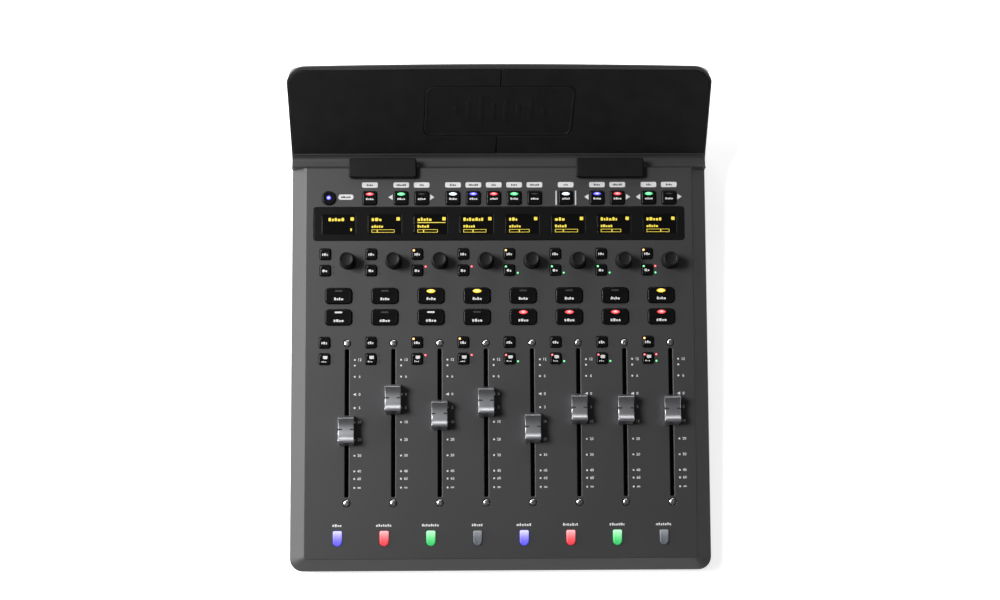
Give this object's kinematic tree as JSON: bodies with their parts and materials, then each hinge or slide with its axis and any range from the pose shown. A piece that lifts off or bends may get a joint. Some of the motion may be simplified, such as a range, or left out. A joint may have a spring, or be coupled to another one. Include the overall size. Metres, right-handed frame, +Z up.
{
  "type": "mixing console",
  "caption": "Compact desktop mixing console with motor fader strips, rotary encoders, backlit keys, a long display window and an angled tablet backrest behind a channel.",
  "frame": {"origin": "middle of the footprint's bounding box, on the surface that the feet stand on", "axes": "+X to the operator's right, +Y from the operator to the rear, +Z up"},
  "size_m": [0.32, 0.375, 0.0914],
  "materials": {
    "case": "satin fine-textured paint",
    "tray": "satin fine-textured paint",
    "pad": "matte",
    "badge": "satin",
    "rubber": "matte",
    "lens": "polished",
    "key": "fine matte",
    "knob": "soft matte",
    "fader_cap": "satin metallic lacquer",
    "circuit_board": "solder mask",
    "steel": "zinc plated"
  },
  "bodies": {
    "console": {"top_case": "case", "bottom_tray": "tray", "rear_cover": "tray", "backrest_pad_left": "pad", "backrest_pad_right": "pad", "backrest_badge": "badge", "tablet_stop_left": "rubber", "tablet_stop_right": "rubber", "display_lens": "lens", "control_board": "circuit_board", "soft_key_board": "circuit_board", "connector_board": "circuit_board", "fader_bank": "steel", "foot_front": "rubber", "foot_rear": "rubber"},
    "fader_cap_1": {"fader_cap_1": "fader_cap"},
    "knob_1": {"knob_1": "knob"},
    "solo_key_1": {"solo_key_1": "key"},
    "mute_key_1": {"mute_key_1": "key"},
    "soft_key_1": {"soft_key_1": "key"},
    "shift_key": {"shift_key": "key"},
    "function_key_mat": {"function_key_mat": "key"},
    "upper_key_mat": {"upper_key_mat": "key"},
    "lower_key_mat": {"lower_key_mat": "key"},
    "power_switch": {"power_switch": "key"},
    "fader_cap_2": {"fader_cap_2": "fader_cap"},
    "fader_cap_3": {"fader_cap_3": "fader_cap"},
    "fader_cap_4": {"fader_cap_4": "fader_cap"},
    "fader_cap_5": {"fader_cap_5": "fader_cap"},
    "fader_cap_6": {"fader_cap_6": "fader_cap"},
    "fader_cap_7": {"fader_cap_7": "fader_cap"},
    "fader_cap_8": {"fader_cap_8": "fader_cap"},
    "knob_2": {"knob_2": "knob"},
    "knob_3": {"knob_3": "knob"},
    "knob_4": {"knob_4": "knob"},
    "knob_5": {"knob_5": "knob"},
    "knob_6": {"knob_6": "knob"},
    "knob_7": {"knob_7": "knob"},
    "knob_8": {"knob_8": "knob"},
    "solo_key_2": {"solo_key_2": "key"},
    "solo_key_3": {"solo_key_3": "key"},
    "solo_key_4": {"solo_key_4": "key"},
    "solo_key_5": {"solo_key_5": "key"},
    "solo_key_6": {"solo_key_6": "key"},
    "solo_key_7": {"solo_key_7": "key"},
    "solo_key_8": {"solo_key_8": "key"},
    "mute_key_2": {"mute_key_2": "key"},
    "mute_key_3": {"mute_key_3": "key"},
    "mute_key_4": {"mute_key_4": "key"},
    "mute_key_5": {"mute_key_5": "key"},
    "mute_key_6": {"mute_key_6": "key"},
    "mute_key_7": {"mute_key_7": "key"},
    "mute_key_8": {"mute_key_8": "key"},
    "soft_key_2": {"soft_key_2": "key"},
    "soft_key_3": {"soft_key_3": "key"},
    "soft_key_4": {"soft_key_4": "key"},
    "soft_key_5": {"soft_key_5": "key"},
    "soft_key_6": {"soft_key_6": "key"},
    "soft_key_7": {"soft_key_7": "key"},
    "soft_key_8": {"soft_key_8": "key"}
  },
  "joints": [
    {"name": "fader_1_slide", "type": "slide", "parent": "console", "child": "fader_cap_1", "axis": [0, 0.9986, 0.0523], "range_m": [-0.045, 0.055]},
    {"name": "knob_1_turn", "type": "hinge", "parent": "console", "child": "knob_1", "pos_m": [-0.11649, 0.0472, 0.03783], "axis": [0, -0.0523, 0.9986], "continuous": true},
    {"name": "solo_1_press", "type": "slide", "parent": "console", "child": "solo_key_1", "axis": [0, 0.0523, -0.9986], "range_m": [0, 0.0008], "stiffness_N_per_m": 300, "springref_m": -0.001},
    {"name": "mute_1_press", "type": "slide", "parent": "console", "child": "mute_key_1", "axis": [0, 0.0523, -0.9986], "range_m": [0, 0.0008], "stiffness_N_per_m": 300, "springref_m": -0.001},
    {"name": "soft_1_press", "type": "slide", "parent": "console", "child": "soft_key_1", "axis": [0, 0.0523, -0.9986], "range_m": [0, 0.0008], "stiffness_N_per_m": 300, "springref_m": -0.001},
    {"name": "shift_press", "type": "slide", "parent": "console", "child": "shift_key", "axis": [0, 0.0523, -0.9986], "range_m": [0, 0.0008], "stiffness_N_per_m": 300, "springref_m": -0.001},
    {"name": "function_keys_press", "type": "slide", "parent": "console", "child": "function_key_mat", "axis": [0, 0.0523, -0.9986], "range_m": [0, 0.0008], "stiffness_N_per_m": 500, "springref_m": -0.001},
    {"name": "upper_keys_press", "type": "slide", "parent": "console", "child": "upper_key_mat", "axis": [0, 0.0523, -0.9986], "range_m": [0, 0.0008], "stiffness_N_per_m": 500, "springref_m": -0.001},
    {"name": "lower_keys_press", "type": "slide", "parent": "console", "child": "lower_key_mat", "axis": [0, 0.0523, -0.9986], "range_m": [0, 0.0008], "stiffness_N_per_m": 500, "springref_m": -0.001},
    {"name": "power_rocker", "type": "hinge", "parent": "console", "child": "power_switch", "pos_m": [0.112, 0.14831, 0.026], "axis": [1, 0, 0], "range_deg": [0, 14]},
    {"name": "fader_2_slide", "type": "slide", "parent": "console", "child": "fader_cap_2", "axis": [0, 0.9986, 0.0523], "range_m": [-0.0687, 0.0313]},
    {"name": "fader_3_slide", "type": "slide", "parent": "console", "child": "fader_cap_3", "axis": [0, 0.9986, 0.0523], "range_m": [-0.0567, 0.0433]},
    {"name": "fader_4_slide", "type": "slide", "parent": "console", "child": "fader_cap_4", "axis": [0, 0.9986, 0.0523], "range_m": [-0.0665, 0.0335]},
    {"name": "fader_5_slide", "type": "slide", "parent": "console", "child": "fader_cap_5", "axis": [0, 0.9986, 0.0523], "range_m": [-0.0467, 0.0533]},
    {"name": "fader_6_slide", "type": "slide", "parent": "console", "child": "fader_cap_6", "axis": [0, 0.9986, 0.0523], "range_m": [-0.0609, 0.0391]},
    {"name": "fader_7_slide", "type": "slide", "parent": "console", "child": "fader_cap_7", "axis": [0, 0.9986, 0.0523], "range_m": [-0.0603, 0.0397]},
    {"name": "fader_8_slide", "type": "slide", "parent": "console", "child": "fader_cap_8", "axis": [0, 0.9986, 0.0523], "range_m": [-0.0598, 0.0402]},
    {"name": "knob_2_turn", "type": "hinge", "parent": "console", "child": "knob_2", "pos_m": [-0.08125, 0.0472, 0.03783], "axis": [0, -0.0523, 0.9986], "continuous": true},
    {"name": "knob_3_turn", "type": "hinge", "parent": "console", "child": "knob_3", "pos_m": [-0.04601, 0.0472, 0.03783], "axis": [0, -0.0523, 0.9986], "continuous": true},
    {"name": "knob_4_turn", "type": "hinge", "parent": "console", "child": "knob_4", "pos_m": [-0.01077, 0.0472, 0.03783], "axis": [0, -0.0523, 0.9986], "continuous": true},
    {"name": "knob_5_turn", "type": "hinge", "parent": "console", "child": "knob_5", "pos_m": [0.02447, 0.0472, 0.03783], "axis": [0, -0.0523, 0.9986], "continuous": true},
    {"name": "knob_6_turn", "type": "hinge", "parent": "console", "child": "knob_6", "pos_m": [0.05971, 0.0472, 0.03783], "axis": [0, -0.0523, 0.9986], "continuous": true},
    {"name": "knob_7_turn", "type": "hinge", "parent": "console", "child": "knob_7", "pos_m": [0.09495, 0.0472, 0.03783], "axis": [0, -0.0523, 0.9986], "continuous": true},
    {"name": "knob_8_turn", "type": "hinge", "parent": "console", "child": "knob_8", "pos_m": [0.13019, 0.0472, 0.03783], "axis": [0, -0.0523, 0.9986], "continuous": true},
    {"name": "solo_2_press", "type": "slide", "parent": "console", "child": "solo_key_2", "axis": [0, 0.0523, -0.9986], "range_m": [0, 0.0008], "stiffness_N_per_m": 300, "springref_m": -0.001},
    {"name": "solo_3_press", "type": "slide", "parent": "console", "child": "solo_key_3", "axis": [0, 0.0523, -0.9986], "range_m": [0, 0.0008], "stiffness_N_per_m": 300, "springref_m": -0.001},
    {"name": "solo_4_press", "type": "slide", "parent": "console", "child": "solo_key_4", "axis": [0, 0.0523, -0.9986], "range_m": [0, 0.0008], "stiffness_N_per_m": 300, "springref_m": -0.001},
    {"name": "solo_5_press", "type": "slide", "parent": "console", "child": "solo_key_5", "axis": [0, 0.0523, -0.9986], "range_m": [0, 0.0008], "stiffness_N_per_m": 300, "springref_m": -0.001},
    {"name": "solo_6_press", "type": "slide", "parent": "console", "child": "solo_key_6", "axis": [0, 0.0523, -0.9986], "range_m": [0, 0.0008], "stiffness_N_per_m": 300, "springref_m": -0.001},
    {"name": "solo_7_press", "type": "slide", "parent": "console", "child": "solo_key_7", "axis": [0, 0.0523, -0.9986], "range_m": [0, 0.0008], "stiffness_N_per_m": 300, "springref_m": -0.001},
    {"name": "solo_8_press", "type": "slide", "parent": "console", "child": "solo_key_8", "axis": [0, 0.0523, -0.9986], "range_m": [0, 0.0008], "stiffness_N_per_m": 300, "springref_m": -0.001},
    {"name": "mute_2_press", "type": "slide", "parent": "console", "child": "mute_key_2", "axis": [0, 0.0523, -0.9986], "range_m": [0, 0.0008], "stiffness_N_per_m": 300, "springref_m": -0.001},
    {"name": "mute_3_press", "type": "slide", "parent": "console", "child": "mute_key_3", "axis": [0, 0.0523, -0.9986], "range_m": [0, 0.0008], "stiffness_N_per_m": 300, "springref_m": -0.001},
    {"name": "mute_4_press", "type": "slide", "parent": "console", "child": "mute_key_4", "axis": [0, 0.0523, -0.9986], "range_m": [0, 0.0008], "stiffness_N_per_m": 300, "springref_m": -0.001},
    {"name": "mute_5_press", "type": "slide", "parent": "console", "child": "mute_key_5", "axis": [0, 0.0523, -0.9986], "range_m": [0, 0.0008], "stiffness_N_per_m": 300, "springref_m": -0.001},
    {"name": "mute_6_press", "type": "slide", "parent": "console", "child": "mute_key_6", "axis": [0, 0.0523, -0.9986], "range_m": [0, 0.0008], "stiffness_N_per_m": 300, "springref_m": -0.001},
    {"name": "mute_7_press", "type": "slide", "parent": "console", "child": "mute_key_7", "axis": [0, 0.0523, -0.9986], "range_m": [0, 0.0008], "stiffness_N_per_m": 300, "springref_m": -0.001},
    {"name": "mute_8_press", "type": "slide", "parent": "console", "child": "mute_key_8", "axis": [0, 0.0523, -0.9986], "range_m": [0, 0.0008], "stiffness_N_per_m": 300, "springref_m": -0.001},
    {"name": "soft_2_press", "type": "slide", "parent": "console", "child": "soft_key_2", "axis": [0, 0.0523, -0.9986], "range_m": [0, 0.0008], "stiffness_N_per_m": 300, "springref_m": -0.001},
    {"name": "soft_3_press", "type": "slide", "parent": "console", "child": "soft_key_3", "axis": [0, 0.0523, -0.9986], "range_m": [0, 0.0008], "stiffness_N_per_m": 300, "springref_m": -0.001},
    {"name": "soft_4_press", "type": "slide", "parent": "console", "child": "soft_key_4", "axis": [0, 0.0523, -0.9986], "range_m": [0, 0.0008], "stiffness_N_per_m": 300, "springref_m": -0.001},
    {"name": "soft_5_press", "type": "slide", "parent": "console", "child": "soft_key_5", "axis": [0, 0.0523, -0.9986], "range_m": [0, 0.0008], "stiffness_N_per_m": 300, "springref_m": -0.001},
    {"name": "soft_6_press", "type": "slide", "parent": "console", "child": "soft_key_6", "axis": [0, 0.0523, -0.9986], "range_m": [0, 0.0008], "stiffness_N_per_m": 300, "springref_m": -0.001},
    {"name": "soft_7_press", "type": "slide", "parent": "console", "child": "soft_key_7", "axis": [0, 0.0523, -0.9986], "range_m": [0, 0.0008], "stiffness_N_per_m": 300, "springref_m": -0.001},
    {"name": "soft_8_press", "type": "slide", "parent": "console", "child": "soft_key_8", "axis": [0, 0.0523, -0.9986], "range_m": [0, 0.0008], "stiffness_N_per_m": 300, "springref_m": -0.001}
  ]
}
